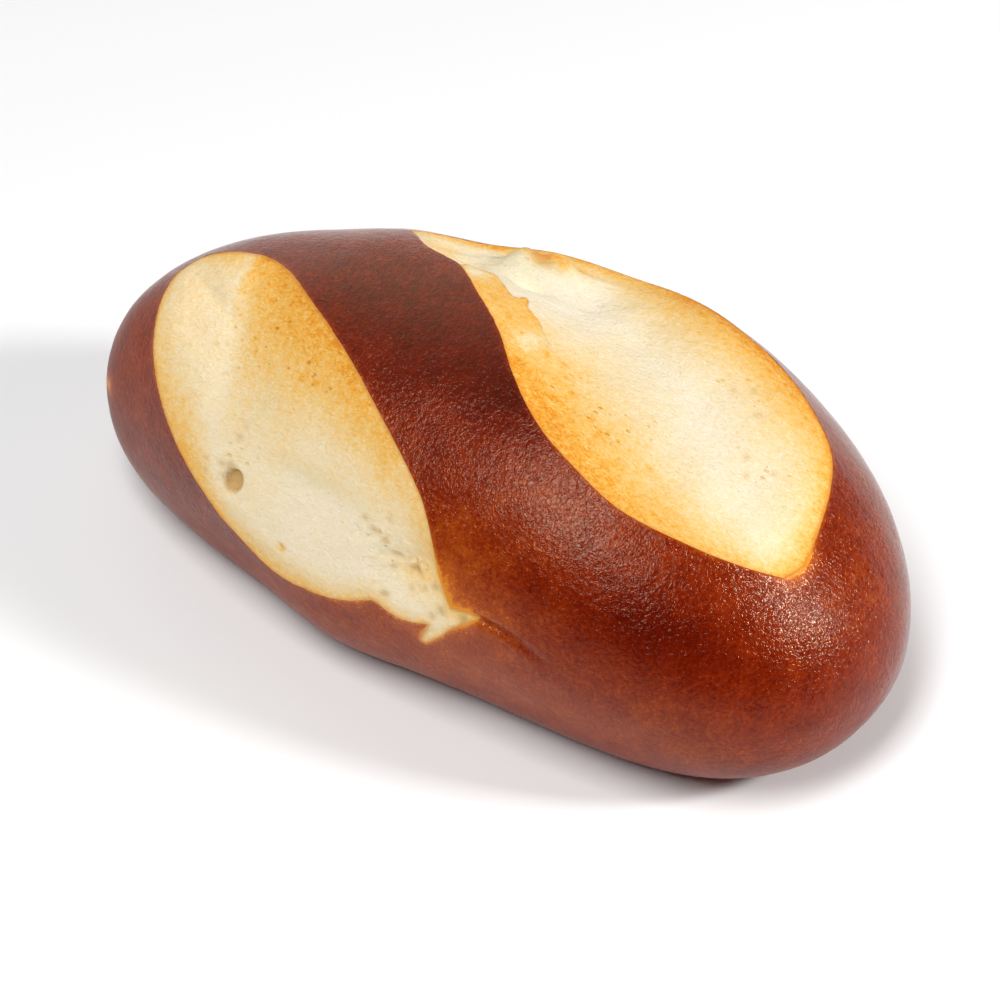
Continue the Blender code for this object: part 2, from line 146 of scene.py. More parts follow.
# Broad sags of the crumb, given in the same way
SAGS = (
    (-21.0, -21.5, -0.9, 7.0, 6.0),
    (5.0, -27.0, -0.9, 9.0, 7.0),
)

KNOB_WALL = 3.0

# The one large pore of the crumb: x, g, depth, radius along x, radius along g
PORE = (-37.0, 53.0, 2.2, 1.7, 2.3)
PORE_FLAT_FLOOR = 1.6

# Fine relief of the crust and of the crumb: rise and size of the lumps, and how far inside the edge the
# crumb's has taken over
CRUST_BUMPS = ((0.16, 14.0), (0.07, 6.0), (0.035, 2.6))
CRUMB_BUMPS = ((0.30, 11.0), (0.16, 5.0), (0.07, 2.4), (0.04, 1.2))
CRUMB_FADE = 0.8
SEED_STEP = 31.7

# The torn crumb at the first slash's tail: x, g, reach along x, reach along g
TORN_ZONE = (0.0, 52.0, 12.0, 7.0)
TORN_FADE = 2.0

# Its lumps: rise, size, seed
TORN_BUMPS = ((0.35, 2.6, 11), (0.25, 1.3, 12))

# Zones of small pores: x, g, spread along x, spread along g, count, largest radius
PIT_ZONES = (
    (-38.0, 47.0, 2.6, 2.4, 12, 0.7),
    (-34.0, 42.0, 5.0, 3.0, 8, 0.5),
    (-24.0, 62.0, 0.4, 0.4, 1, 1.0),
    (-3.0, 50.0, 5.5, 3.5, 30, 0.8),
    (5.0, 55.0, 4.0, 3.0, 16, 0.7),
    (-48.0, 12.0, 6.0, 9.0, 10, 0.4),
    (-30.0, 22.0, 8.0, 6.0, 16, 0.4),
    (38.0, -20.0, 6.0, 2.0, 12, 0.5),
    (52.0, -7.0, 6.0, 5.0, 18, 0.45),
    (5.0, -26.0, 6.0, 4.0, 10, 0.4),
    (25.0, 5.0, 12.0, 5.0, 22, 0.45),
)
PIT_SEED = 7

# Their depth for each mm of radius, the smallest as a share of the largest, how many radii they reach, and
# how far inside the edge they start and are whole
PIT_STEEPNESS = 0.5
SMALLEST_PIT = 0.35
PIT_REACH = 3
PIT_FADE = (0.6, 1.6)

# Lengths of the edges of the mesh, and how fast they grow away from the lines
LINE_EDGE = 0.5
CRUMB_EDGE = 0.62
TORN_EDGE = 0.4
CRUST_EDGE = 1.05
SOLE_EDGE = 3.0
EDGE_GROWTH = 0.25

# Where the shorter edges of the torn crumb and of the pore take over, and the longer ones of the sole, which
# do so from 12 mm down to 3 mm above the table
TORN_SHARE = (0.2, 0.6)
PORE_SURROUND = 2
SOLE_FADE = (-12.0, -3.0)

# The ball that is split down to these lengths, the rows of points on both sides of each line, and how far
# points keep from each other, as a share of the lengths
BALL_LEVELS = 5
SPLIT_OVER = 1.3
ROWS = (0.18, 0.5)
ROW_CLEARANCE = 0.8
POINT_CLEARANCE = 0.62

# The flattened map, and the ring in the sole where a fan closes the net
MAP_STRETCH = 1.8
SOLE_RING = 0.5
SOLE_RING_CLEARANCE = 0.1
SOLE_RING_POINTS = 28

# Small numbers of the calculations, and how near to the X axis a direction's helper changes
STEP = 1e-3
TINY = 1e-6
LEAST = 1e-12
MAP_TOLERANCE = 1e-7
NEAR_X_AXIS = 0.7


def ramp(low, high, value):
    """Rises smoothly from 0 at low to 1 at high."""
    k = np.clip((value - low) / (high - low), 0, 1)
    return k * k * (3 - 2 * k)


def from_ends(t, ends):
    """A value that changes smoothly from one end of the loaf to the other."""
    return ends[0] + (ends[1] - ends[0]) * ramp(-1, 1, t)


def full(t, fullness):
    """The share of the full breadth that the loaf has at t, from 1 in the middle to 0 at its ends."""
    return np.sqrt(np.maximum(LEAST, 1 - np.abs(t) ** fullness))


def smooth_loaf(d):
    """The loaf with no relief, for unit directions d."""
    t = np.clip(d[:, 0], -1, 1)
    angle = np.arctan2(d[:, 2], d[:, 1])
    across, rise = np.cos(angle), np.sin(angle)
    half_width = np.where(
        across > 0,
        BACK_HALF_WIDTH * full(t, from_ends(t, BACK_FULLNESS)),
        FRONT_HALF_WIDTH * full(t, from_ends(t, FRONT_FULLNESS)),
    ) * (1 + TAPER * t)
    level = WIDEST_LEVEL * (1 - END_DROP * t**2)
    above = (HEIGHT - WIDEST_LEVEL) * full(t, from_ends(t, RIDGE_FULLNESS)) * (1 + RIDGE_TAPER * t)
    below = WIDEST_LEVEL * BELLY_DEPTH * full(t, BELLY_FULLNESS)
    power = np.where(rise > 0, UPPER_SECTION, LOWER_SECTION)
    reach = (np.abs(across) ** power + np.abs(rise) ** power) ** (-1 / power)
    y = half_width * across * reach + BOW * t**2
    z = level + np.where(rise > 0, above, below) * rise * reach
    return np.stack([t * LENGTH / 2, y, z], 1)


def place(d):
    """The (x, g) of unit directions d."""
    angle = np.arctan2(d[:, 2], d[:, 1])
    turned = (angle - np.pi / 2 + np.pi) % (2 * np.pi) - np.pi
    return np.stack([d[:, 0] * LENGTH / 2, turned * GIRTH_RADIUS], 1)


def direction(spots):
    """The unit directions of places (x, g)."""
    t = spots[:, 0] / (LENGTH / 2)
    angle = spots[:, 1] / GIRTH_RADIUS + np.pi / 2
    side = np.sqrt(np.maximum(0, 1 - t**2))
    return np.stack([t, side * np.cos(angle), side * np.sin(angle)], 1)


def tangents(d):
    """Two unit directions across d and across each other."""
    helper = np.where(np.abs(d[:, :1]) > NEAR_X_AXIS, [[0.0, 0.0, 1.0]], [[1.0, 0.0, 0.0]])
    first = np.cross(d, helper)
    first /= np.linalg.norm(first, axis=1, keepdims=True)
    return first, np.cross(d, first)


def outward(d):
    """The outward normals of the smooth loaf at unit directions d."""
    steps = []
    for way in tangents(d):
        ends = [d + STEP * way, d - STEP * way]
        ahead, behind = (end / np.linalg.norm(end, axis=1, keepdims=True) for end in ends)
        steps.append(smooth_loaf(ahead) - smooth_loaf(behind))
    normal = np.cross(steps[0], steps[1])
    return normal / np.linalg.norm(normal, axis=1, keepdims=True)


def curve(points, step=0.25):
    """A smooth line through the points, as places a step apart."""
    p = np.array(points, float)
    p = np.concatenate([2 * p[:1] - p[1:2], p, 2 * p[-1:] - p[-2:-1]])
    rows = []
    for a, b, c, e in zip(p[:-3], p[1:-2], p[2:-1], p[3:]):
        count = max(2, int(np.linalg.norm(c - b) / step))
        k = (np.arange(count) / count)[:, None]
        bend = (2 * a - 5 * b + 4 * c - e) + k * (3 * (b - c) + e - a)
        rows.append(b + 0.5 * k * ((c - a) + k * bend))
    rows.append(p[-2:-1])
    return np.concatenate(rows)


def joined(*lines):
    """Smooth lines, one after the other, with a corner between them."""
    return np.concatenate([curve(line) for line in lines])


def round_head(first, second):
    """Two lines that leave their first point in opposite ways, with no corner there."""
    both = curve(tuple(first[::-1]) + tuple(second[1:]))
    middle = np.argmin(np.linalg.norm(both - np.array(first[0]), axis=1))
    return both[: middle + 1][::-1], both[middle:]


class Line:
    """Places along an edge of a slash or of a tear, and how far other places are from it over the loaf."""

    def __init__(self, spots):
        self.spots = spots
        self.tree = kdtree.KDTree(len(spots))
        for index, point in enumerate(smooth_loaf(direction(spots))):
            self.tree.insert(point, index)
        self.tree.balance()

    def nearest(self, points):
        """The number of the nearest place on the line to each point, and how far it is."""
        found = [self.tree.find(point)[1:] for point in points]
        return np.array([index for index, _ in found]), np.array([distance for _, distance in found])


def within(spots, polygon):
    """Whether each place is inside the polygon."""
    x, g = spots[:, 0], spots[:, 1]
    inside = np.zeros(len(spots), bool)
    for (x0, g0), (x1, g1) in zip(polygon, np.roll(polygon, -1, axis=0)):
        if g0 != g1:
            inside ^= ((g0 > g) != (g1 > g)) & (x < x0 + (g - g0) * (x1 - x0) / (g1 - g0))
    return inside


ONE_HEAD, ONE_BAND_LINE = round_head(ONE_FREE, ONE_BAND)
ONE_SIDES = (
    Line(np.concatenate([ONE_HEAD, joined(ONE_LIP, ONE_NICK, ONE_TAIL)])),
    Line(np.concatenate([ONE_BAND_LINE, joined(ONE_CORNER)])),
)
TWO_SIDES = (Line(curve(TWO_BAND)), Line(curve(TWO_FAR)))
FLAP = Line(curve(FLAP_EDGE))
FLAP_AREA = np.concatenate([FLAP.spots, np.array(FLAP_BACK, float)])
CREASE_LINE = Line(curve(CREASE))
SLASHES = tuple(np.concatenate([a.spots, b.spots[::-1]])[::2] for a, b in (ONE_SIDES, TWO_SIDES))


def along(x, stations):
    """A value set at stations along the loaf, changing smoothly between them."""
    xs, values = np.array(stations).T
    k = np.interp(x, xs, np.arange(len(xs)))
    low = np.minimum(k.astype(int), len(xs) - 2)
    return values[low] + (values[low + 1] - values[low]) * ramp(0, 1, k - low)


def blob(spots, x, g, size_x, size_g):
    """1 at (x, g), fading to 0 away from it."""
    return np.exp(-((spots[:, 0] - x) / size_x) ** 2 - ((spots[:, 1] - g) / size_g) ** 2)


def beside_line(distance, reach):
    """1 on a line, fading to 0 away from it."""
    return np.exp(-((distance / reach) ** 2))


def trough(share, valley):
    """0 at both sides of a slash and 1 in its valley; share is 0 at the first side and 1 at the second."""
    first = ramp(0, 1, share / valley)
    second = np.sin(np.pi / 2 * np.clip((1 - share) / (1 - valley), 0, 1))
    return np.where(share < valley, first, second)


def crumb_of_one(m):
    """The coarse form of the first slash's crumb, in mm from the smooth loaf."""
    spots, free, band = m["spots"], m["free"], m["band"]
    width = free + band + TINY
    depth = ONE_DEPTH * ramp(0, ONE_FULL_WIDTH, width)
    hollow = depth * trough(free / width, along(spots[:, 0], ONE_VALLEY))
    x, g, deep, size_x, size_g = TORN_PIT
    walls = ramp(0, TORN_PIT_WALLS[0], free) * ramp(0, TORN_PIT_WALLS[1], band)
    pit = deep * blob(spots, x, g, size_x, size_g) * walls
    x, g, deep, size_x, size_g = PORE
    pore = deep * ramp(0, 1, PORE_FLAT_FLOOR * blob(spots, x, g, size_x, size_g))
    return -hollow - pit - pore


def crumb_of_two(m):
    """The coarse form of the second slash's crumb, in mm from the smooth loaf."""
    spots, band, far = m["spots"], m["near"], m["far"]
    width = band + far + TINY
    share = far / width
    valley = 1 - along(spots[:, 0], TWO_VALLEY)
    hollow = along(spots[:, 0], TWO_DEPTH) * trough(share, valley) * ramp(0, TWO_FULL_WIDTH, width)
    walls = ramp(0, SHOULDER_WALL, far) * ramp(0, SHOULDER_WALL, band)
    height = -np.maximum(hollow, along(spots[:, 0], TWO_SHOULDER) * walls)
    walls = ramp(0, KNOB_WALL, far) * ramp(0, KNOB_WALL, band)
    for x, g, rise, size_x, size_g in KNOBS + SAGS:
        height += rise * blob(spots, x, g, size_x, size_g) * walls
    return height + FLAP_HEIGHT * m["skin"] * ramp(0, FLAP_ROOT, band)


def measure(d):
    """What the relief and the colours need to know at unit directions d, each as one array."""
    spots, points = place(d), smooth_loaf(d)
    m = {"spots": spots, "points": points}
    for key, line in (("free", ONE_SIDES[0]), ("band", ONE_SIDES[1]), ("near", TWO_SIDES[0]),
                      ("far", TWO_SIDES[1]), ("tear", FLAP), ("crease", CREASE_LINE)):
        m[key] = line.nearest(points)[1]
    m["in_one"], m["in_two"] = (within(spots, slash) for slash in SLASHES)
    one, two = np.minimum(m["free"], m["band"]), np.minimum(m["near"], m["far"])
    m["edge"] = np.where(m["in_one"], -one, np.where(m["in_two"], -two, np.minimum(one, two)))
    m["skin"] = within(spots, FLAP_AREA) * (1 - ramp(FLAP_FADE[0], FLAP_FADE[1], spots[:, 0]))
    return m


def coarse_relief(m):
    """How far the surface stands out from the smooth loaf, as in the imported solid."""
    height = np.where(m["in_one"], crumb_of_one(m), 0) + np.where(m["in_two"], crumb_of_two(m), 0)
    height -= CRUMB_DROP * ramp(0, CRUMB_DROP_WITHIN, -m["edge"])
    height += LIP_RISE * np.exp(-np.maximum(m["edge"], 0) / LIP_SPREAD)
    for x, g, rise, size_x, size_g in SWELLINGS:
        height += rise * blob(m["spots"], x, g, size_x, size_g)
    fade = 1 - ramp(CREASE[0][0], CREASE[-1][0], m["spots"][:, 0])
    return height - CREASE_DEPTH * beside_line(m["crease"], CREASE_WIDTH) * fade**0.5


def rough(points, size, seed):
    """Smooth noise from about -1 to 1, with lumps of this size in mm."""
    scaled = points / size + SEED_STEP * seed
    return np.array([noise.noise(Vector(point)) for point in scaled])


def pits():
    """Small pores of the crumb, drawn at random in the zones that have them: x, g, depth, radius."""
    draw = np.random.default_rng(PIT_SEED)
    rows = []
    for x, g, spread_x, spread_g, count, largest in PIT_ZONES:
        places = draw.normal((x, g), (spread_x, spread_g), (count, 2))
        radii = largest * draw.uniform(SMALLEST_PIT, 1, count)
        rows += [(*spot, PIT_STEEPNESS * radius, radius) for spot, radius in zip(places, radii)]
    return rows


def open_pits(m):
    """How deep the small pores are, in mm."""
    depth = np.zeros(len(m["spots"]))
    for x, g, deep, radius in pits():
        near = np.nonzero(np.abs(m["spots"] - (x, g)).max(axis=1) < PIT_REACH * radius)[0]
        depth[near] = np.maximum(depth[near], deep * blob(m["spots"][near], x, g, radius, radius))
    return depth * ramp(*PIT_FADE, -m["edge"])


def fine_relief(m):
    """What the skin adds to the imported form, in mm."""
    points, spots = m["points"], m["spots"]
    in_crumb = ramp(0, CRUMB_FADE, -m["edge"])
    crust = sum(rise * rough(points, size, seed) for seed, (rise, size) in enumerate(CRUST_BUMPS))
    crumb = sum(rise * rough(points, size, seed) for seed, (rise, size) in enumerate(CRUMB_BUMPS))
    x, g, size_x, size_g = TORN_ZONE
    torn = blob(spots, x, g, size_x, size_g) * m["in_one"] * ramp(0, TORN_FADE, -m["edge"])
    for rise, size, seed in TORN_BUMPS:
        crumb += rise * torn * rough(points, size, seed)
    return crust * (1 - in_crumb) + crumb * in_crumb - open_pits(m)


def flattened(z):
    """Heights with a flat sole at 0 and a rounded rim to it."""
    r = SOLE_ROUNDING
    return np.where(z <= -r, 0, np.where(z >= r, z, (z + r) ** 2 / (4 * r)))


def wanted_edge(d):
    """How long an edge of the mesh may be at unit directions d."""
    m = measure(d)
    size = np.where(m["edge"] < 0, CRUMB_EDGE, CRUST_EDGE)
    x, g, size_x, size_g = TORN_ZONE
    torn = blob(m["spots"], x, g, size_x, size_g) * (m["edge"] < 0)
    x, g, _, size_x, size_g = PORE
    around_pore = blob(m["spots"], x, g, PORE_SURROUND * size_x, PORE_SURROUND * size_g)
    torn = np.maximum(torn, around_pore)
    size += (TORN_EDGE - size) * ramp(*TORN_SHARE, torn)
    size += (SOLE_EDGE - size) * ramp(*SOLE_FADE, -m["points"][:, 2])
    gap = np.minimum(np.abs(m["edge"]), np.minimum(m["tear"], m["crease"]))
    return np.minimum(size, LINE_EDGE + EDGE_GROWTH * np.maximum(gap - LINE_EDGE, 0))


def ball(levels):
    """Unit directions and triangles of a ball, split evenly this many times."""
    bm = bmesh.new()
    bmesh.ops.create_icosphere(bm, subdivisions=levels, radius=1)
    bm.verts.index_update()
    d = np.array([v.co for v in bm.verts])
    triangles = np.array([[v.index for v in face.verts] for face in bm.faces])
    bm.free()
    return d / np.linalg.norm(d, axis=1, keepdims=True), triangles


def split(d, triangles):
    """Halves each edge that is longer than wanted, and the longest edge of each triangle that is touched."""
    ends = np.concatenate([triangles[:, [0, 1]], triangles[:, [1, 2]], triangles[:, [2, 0]]])
    edges, numbers = np.unique(np.sort(ends, axis=1), axis=0, return_inverse=True)
    numbers = numbers.reshape(3, -1).T
    middle = d[edges].mean(axis=1)
    middle /= np.linalg.norm(middle, axis=1, keepdims=True)
    points = smooth_loaf(d)
    length = np.linalg.norm(points[edges[:, 0]] - points[edges[:, 1]], axis=1)
    halve = length > SPLIT_OVER * wanted_edge(middle)
    longest = numbers[np.arange(len(numbers)), length[numbers].argmax(axis=1)]
    count = -1
    while halve.sum() != count:
        count = halve.sum()
        halve[longest[halve[numbers].any(axis=1)]] = True
    new = np.full(len(edges), -1)
    new[halve] = len(d) + np.arange(count)
    return np.concatenate([d, middle[halve]]), cut_triangles(triangles, new[numbers]), count


def cut_triangles(triangles, new):
    """The triangles after the points in new, or -1, were put on their three edges."""
    marked = new >= 0
    rows = [triangles[~marked.any(axis=1)]]

    def add(chosen, *corners):
        rows.extend(np.stack(row, 1)[chosen] for row in corners)

    for turn in range(3):
        a, b, c = np.roll(triangles, -turn, axis=1).T
        ab, bc, ca = np.roll(new, -turn, axis=1).T
        add((ab >= 0) & (bc < 0) & (ca < 0), (a, ab, c), (ab, b, c))
        add((ab >= 0) & (bc >= 0) & (ca < 0), (ab, b, bc), (a, ab, bc), (a, bc, c))
    add(marked.all(axis=1), (a, ab, ca), (ab, b, bc), (ca, bc, c), (ab, bc, ca))
    return np.concatenate(rows)


def beside(d, ahead, gap):
    """Directions whose points on the loaf lie this gap to the left of a line that runs from d to ahead."""
    aside = np.cross(outward(d), smooth_loaf(ahead) - smooth_loaf(d))
    aside *= gap / np.linalg.norm(aside, axis=1, keepdims=True)
    ways = tangents(d)
    slopes = [(smooth_loaf(d + STEP * way) - smooth_loaf(d - STEP * way)) / (2 * STEP) for way in ways]
    a, b, c = ((slopes[i] * slopes[j]).sum(axis=1) for i, j in ((0, 0), (0, 1), (1, 1)))
    e, f = ((slope * aside).sum(axis=1) for slope in slopes)
    turns = np.stack([c * e - b * f, a * f - b * e]) / (a * c - b * b)
    moved = d + turns[0][:, None] * ways[0] + turns[1][:, None] * ways[1]
    return moved / np.linalg.norm(moved, axis=1, keepdims=True)


def spaced(spots, step):
    """Directions of places on a line, each about a step from the next over the loaf."""
    points = smooth_loaf(direction(spots))
    run = np.concatenate([[0], np.cumsum(np.linalg.norm(np.diff(points, axis=0), axis=1))])
    stops = np.linspace(0, run[-1], max(2, round(run[-1] / step)) + 1)
    return direction(np.stack([np.interp(stops, run, spots[:, i]) for i in (0, 1)], 1))


def apart(kept, new, gap):
    """The kept directions, and those in new that are at least the gap from them and from each other."""
    cell = gap.max()
    around = list(itertools.product((-1, 0, 1), repeat=3))
    taken = {}
    for point in smooth_loaf(kept):
        taken.setdefault(tuple(int(v // cell) for v in point), []).append(point)
    rows = [kept]
    for d, point, clear in zip(new, smooth_loaf(new), gap):
        i, j, k = (int(v // cell) for v in point)
        near = [other for a, b, c in around for other in taken.get((i + a, j + b, k + c), ())]
        if near and np.linalg.norm(np.array(near) - point, axis=1).min() < clear:
            continue
        rows.append(d[None])
        taken.setdefault((i, j, k), []).append(point)
    return np.concatenate(rows)


def feature_lines():
    """Directions along the slashes, the torn skin and the crease, and the pairs that an edge has to join."""
    sides = [[spaced(line.spots, LINE_EDGE) for line in pair] for pair in (ONE_SIDES, TWO_SIDES)]
    outlines = [np.concatenate([first[:-1], second[:0:-1]]) for first, second in sides]
    loose = [spaced(line.spots, LINE_EDGE)[1:] for line in (FLAP, CREASE_LINE)]
    pairs, start = [], 0
    for line in outlines + loose:
        index = start + np.arange(len(line))
        pairs.append(np.stack([index, np.roll(index, -1)], 1))
        start += len(line)
    pairs[2:] = [pair[:-1] for pair in pairs[2:]]
    return outlines + loose, np.concatenate(pairs)


def net_points():
    """Directions for the mesh, with rows beside each line, and the pairs that an edge has to join."""
    lines, pairs = feature_lines()
    kept = np.concatenate(lines)
    for offset, line, side in itertools.product(ROWS, lines, (1, -1)):
        row = beside(line[:-1], line[1:], side * offset)
        kept = apart(kept, row, np.full(len(row), ROW_CLEARANCE * offset))
    d, triangles = ball(BALL_LEVELS)
    count = 1
    while count:
        d, triangles, count = split(d, triangles)
    d = d[d[:, 2] > -np.cos(SOLE_RING + SOLE_RING_CLEARANCE)]
    kept = apart(kept, d, POINT_CLEARANCE * wanted_edge(d))
    angle = np.linspace(0, 2 * np.pi, SOLE_RING_POINTS, endpoint=False)
    flat = np.sin(SOLE_RING) * np.stack([np.cos(angle), np.sin(angle)], 1)
    ring = np.column_stack([flat, np.full(len(angle), -np.cos(SOLE_RING))])
    return np.concatenate([kept, ring]), pairs


def net():
    """Directions and triangles of the mesh: a net over a flattened map, closed by a fan in the sole."""
    d, pairs = net_points()
    spread = 1 + d[:, 2]
    flat = [Vector((MAP_STRETCH * a, b)) for a, b in zip(d[:, 0] / spread, d[:, 1] / spread)]
    made = delaunay_2d_cdt(flat, pairs.tolist(), [], 0, MAP_TOLERANCE, True)
    source = np.array([origins[0] for origins in made[3]])
    triangles = source[np.array(made[2])]
    ring = np.arange(len(d) - SOLE_RING_POINTS, len(d))
    middle = np.full(SOLE_RING_POINTS, len(d))
    fan = np.stack([np.roll(ring, -1), ring, middle], 1)
    return np.concatenate([d, [[0, 0, -1]]]), np.concatenate([triangles, fan])


# How brown the crumb is for each x: its plain part, and along each side of a slash how much and how far in
ONE_BASE = ((-60.0, 0.32), (-50.0, 0.26), (-40.0, 0.12), (-32.0, 0.20), (-22.0, 0.12), (0.0, 0.12),
            (12.0, 0.2))
ONE_BAND_GOLD = ((-60.0, 0.4), (-51.8, 0.45), (-49.3, 0.76), (-40.0, 0.78), (-20.0, 0.80), (-8.0, 0.70),
                 (0.0, 0.52), (10.0, 0.6))
ONE_BAND_REACH = ((-60.0, 3.0), (-51.8, 4.0), (-49.3, 14.0), (-40.0, 26.0), (-32.0, 23.0), (-22.0, 14.0),
                  (-8.0, 11.0), (2.0, 9.0), (12.0, 4.0))
ONE_FREE_GOLD = ((-64.0, 0.5), (-56.0, 0.58), (-48.0, 0.66), (-36.0, 0.56), (-22.0, 0.56), (0.0, 0.45))
ONE_FREE_REACH = ((-64.0, 3.0), (-56.0, 8.0), (-48.0, 10.0), (-38.0, 4.5), (-26.0, 6.0), (-10.0, 4.0),
                  (10.0, 2.0))
TWO_BASE = ((-30.0, 0.24), (-14.0, 0.12), (-2.0, 0.05), (20.0, 0.05), (45.0, 0.05), (56.0, 0.20),
            (62.0, 0.24))
TWO_NEAR_GOLD = ((-28.0, 0.2), (-18.0, 0.3), (-6.0, 0.5), (4.0, 0.84), (16.0, 0.87), (26.0, 0.82),
                 (38.0, 0.76), (48.0, 0.68), (60.0, 0.66))
TWO_NEAR_REACH = ((-28.0, 2.0), (-12.0, 3.0), (0.0, 8.0), (8.0, 12.0), (16.0, 18.0), (30.0, 21.0),
                  (40.0, 17.0), (50.0, 11.0), (60.0, 4.0))
TWO_FAR_GOLD = ((-28.0, 0.55), (-20.0, 0.78), (-8.0, 0.80), (0.0, 0.72), (10.0, 0.76), (20.0, 0.84),
                (40.0, 0.84), (52.0, 0.80), (62.0, 0.74))
TWO_FAR_REACH = ((-28.0, 2.0), (-20.0, 2.4), (-8.0, 3.2), (2.0, 6.5), (12.0, 12.0), (22.0, 14.0),
                 (36.0, 13.0), (46.0, 13.0), (54.0, 8.0), (60.0, 5.5), (64.0, 5.0))
GOLD_FALL = 1.5
SKIN_GOLD = 0.66

# Painted shade: how much the second slash's crumb is darkened for each x, against the stronger light it
# gets, where the first slash's keeps all its colour
TWO_PAINTED_SHADE = ((-30.0, 0.90), (0.0, 0.93), (10.0, 0.91), (25.0, 0.87), (42.0, 0.87), (52.0, 0.91), (62.0, 1.0))

# Thin burnt line of the edges of the crust and of the torn skin: its strength at the first slash, the
# second slash, the second slash's far edge from one x to another, and the torn skin; and its reach
ONE_BURNT = 0.70
TWO_BURNT = 0.40
FAR_BURNT = 0.95
FAR_BURNT_FROM = (4.0, 20.0)
TEAR_BURNT = 0.35
BURNT_REACH = 0.38

# Painted shade inside the large pore, which also sinks its bumps: x, g, and its half sizes; its strength,
# and the shares where it fades
PORE_SHADE = (-37.0, 53.3, 1.75, 2.4)
PORE_SHADE_STRENGTH = 0.85
PORE_SHADE_EDGE = (0.86, 1.14)

# Warmer crust right along the slashes, and painted shade darkening the crust in the split
EDGE_TONE = 0.24
EDGE_TONE_REACH = 0.5
CREASE_SHADE = -0.08
CREASE_SHADE_REACH = 0.6

# Soft patches of browner or whiter crumb; those over the pores, the torn tail and the first slash's valley
# are partly painted shade.
# Each patch here and below is x, g, strength, reach along x, reach along g.
GOLD_AND_SHADE_PATCHES = (
    (-12.5, -12.5, -0.45, 2.6, 2.6),
    (4.6, -0.6, -0.38, 2.4, 3.2),
    (3.2, -2.0, 0.30, 0.4, 0.5),
    (4.2, 0.6, 0.30, 0.5, 0.4),
    (5.6, -1.0, 0.28, 0.4, 0.6),
    (5.4, 1.6, 0.30, 0.5, 0.4),
    (3.0, -0.2, 0.26, 0.4, 0.4),
    (9.0, -1.6, 0.32, 0.8, 0.9),
    (12.0, -2.0, 0.30, 1.1, 0.6),
    (14.0, 0.5, 0.24, 0.9, 0.6),
    (17.0, 3.5, 0.22, 0.9, 0.8),
    (22.5, 7.0, 0.20, 0.7, 0.9),
    (25.5, 8.5, 0.20, 0.8, 0.9),
    (36.0, 8.5, 0.30, 1.0, 0.6),
    (-37.5, 13.0, 0.22, 0.9, 0.8),
    (-29.0, 24.0, 0.22, 0.7, 1.0),
    (-26.0, 24.0, 0.22, 1.0, 0.6),
    (-25.0, -23.0, 0.22, 3.0, 4.0),
    (-16.0, -24.6, 0.14, 3.0, 0.9),
    (-20.0, 43.0, 0.16, 10.0, 2.6),
    (4.0, 52.5, 0.18, 5.0, 3.0),
    (-37.0, 53.0, 0.24, 1.6, 2.2),
    (-24.0, 62.0, 0.40, 0.9, 1.0),
    (-42.6, 19.6, 0.30, 0.6, 1.1),
    (-41.4, 22.2, 0.30, 0.6, 1.0),
)

# The browned lumps under the second slash's far rim, with painted shade in the hollow beneath them
HOLLOW_GOLD_AND_SHADE = (
    (-13.5, -31.5, 0.62, 2.8, 3.0),
    (-11.0, -28.3, 0.58, 3.0, 1.5),
    (-8.0, -28.0, 0.55, 2.2, 1.3),
    (-18.5, -33.5, 0.40, 2.5, 1.5),
    (-7.2, -31.0, 0.66, 2.8, 2.8),
    (-4.6, -28.6, 0.50, 1.6, 1.4),
    (-3.6, -33.0, 0.60, 2.4, 3.0),
)

# Painted shade: greyer crumb in the hollows, and on the knob whose face catches the most light
SHADE_PATCHES = (
    (-36.0, 34.0, 0.35, 4.0, 7.0),
    (-20.0, 44.0, 0.60, 12.0, 2.6),
    (0.0, 50.5, 0.5, 7.0, 3.0),
    (8.0, 55.0, 0.4, 4.0, 3.0),
    (54.0, -2.0, 0.25, 7.0, 9.0),
    (-14.0, -26.0, 0.5, 3.0, 2.0),
    (-10.0, -25.0, 0.80, 6.0, 2.6),
)

# Painted shade in the bottoms of single pores and tears, which also sinks them, and zones of scattered
# specks
SHADED_PORE_PATCHES = (
    (-39.5, 50.0, 0.45, 0.9, 0.8),
    (-38.0, 49.4, 0.40, 0.7, 0.6),
    (-43.0, 50.5, 0.35, 0.6, 0.6),
    (-42.5, 53.0, 0.40, 0.5, 0.7),
    (-38.0, 43.0, 0.45, 0.6, 0.8),
    (-37.5, 40.5, 0.35, 0.5, 0.6),
    (-24.0, 62.0, 0.35, 0.7, 0.9),
    (-56.5, 2.5, 0.40, 0.6, 0.5),
    (-55.0, 8.0, 0.30, 0.9, 0.5),
    (-52.5, 10.0, 0.35, 1.1, 0.5),
    (-8.0, 46.0, 0.45, 0.9, 0.8),
    (-5.5, 47.4, 0.50, 1.0, 0.7),
    (-3.0, 49.0, 0.50, 0.9, 0.7),
    (-0.5, 50.8, 0.50, 1.1, 0.7),
    (-3.0, 43.5, 0.35, 0.6, 0.8),
    (3.5, 52.5, 0.70, 1.4, 0.8),
    (8.5, 53.0, 0.60, 0.9, 0.8),
    (9.5, 58.5, 0.50, 0.8, 0.8),
    (11.0, 56.6, 0.60, 1.2, 0.8),
    (-0.5, 59.0, 0.55, 0.8, 0.8),
    (-0.5, 53.5, 0.40, 0.8, 0.6),
    (4.0, 55.8, 0.35, 0.8, 0.6),
    (6.2, 55.2, 0.35, 0.7, 0.6),
    (15.8, 55.2, 0.75, 1.0, 1.2),
    (38.0, -19.0, 0.35, 0.6, 0.8),
    (40.5, -21.5, 0.35, 0.7, 0.6),
    (44.0, -17.0, 0.35, 0.6, 0.9),
    (52.5, -8.0, 0.40, 0.5, 0.5),
    (47.5, -7.5, 0.35, 0.6, 0.9),
    (49.5, -4.0, 0.35, 0.6, 0.8),
    (-8.0, -27.4, 0.45, 4.6, 0.9),
    (-10.5, -28.8, 0.35, 0.9, 0.9),
    (-4.6, -29.6, 0.30, 0.8, 1.4),
)
